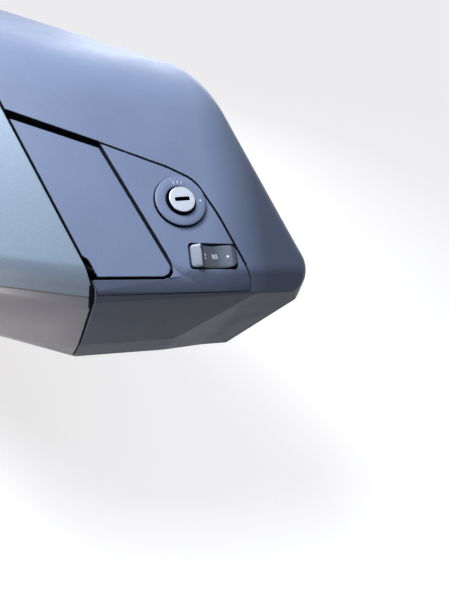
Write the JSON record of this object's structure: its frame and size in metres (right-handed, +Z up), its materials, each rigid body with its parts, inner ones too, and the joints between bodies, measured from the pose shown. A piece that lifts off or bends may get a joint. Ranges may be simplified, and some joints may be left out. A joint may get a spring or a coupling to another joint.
{
  "type": "motorcycle side case",
  "caption": "Hard side case for a touring motorcycle, with a bottom-hinged lid, a fold-out carry handle, a key lock and inboard mounting sockets.",
  "frame": {"origin": "centre of the mouth of the front mounting socket, on the inboard side", "axes": "+X forward along the lid joint, +Y inboard towards the motorcycle, +Z up"},
  "size_m": [0.5425, 0.272, 0.3569],
  "materials": {
    "case_plastic": "fine-grained satin charcoal plastic",
    "lid_plastic": "fine-grained satin dark grey plastic",
    "dark_plastic": "matt black moulded plastic",
    "button_plastic": "satin black plastic",
    "lid_paint": "silver-grey metallic paint on plastic",
    "rubber": "black rubber",
    "steel": "zinc-plated steel",
    "key_metal": "satin nickel",
    "reflector_red": "red reflector plastic"
  },
  "bodies": {
    "case": {"body_shell": "case_plastic", "lock_panel": "case_plastic", "handle_bay": "dark_plastic", "handle_pin": "steel", "lock_bezel": "dark_plastic", "lock_cylinder": "key_metal", "rocker_button": "button_plastic", "body_hinges": "steel", "hinge_pins": "steel", "latch_housings": "dark_plastic", "mount_plate": "dark_plastic", "latch_bar": "steel", "buffers": "rubber", "body_runner": "rubber", "reflector": "reflector_red"},
    "lid": {"lid_panel": "lid_paint", "lid_shell": "lid_plastic", "lid_seal": "rubber", "lid_hinges": "steel", "latch_tongues": "dark_plastic", "lid_runner": "rubber"},
    "handle": {"handle_flap": "case_plastic"}
  },
  "joints": [
    {"name": "lid_hinge", "type": "hinge", "parent": "case", "child": "lid", "pos_m": [-0.183, -0.17725, -0.179], "axis": [1, 0, 0], "range_deg": [0, 80]},
    {"name": "handle_hinge", "type": "hinge", "parent": "case", "child": "handle", "pos_m": [0.13649, -0.14969, 0.07857], "axis": [0.4372, 0.8987, -0.0333], "range_deg": [0, 85]}
  ]
}
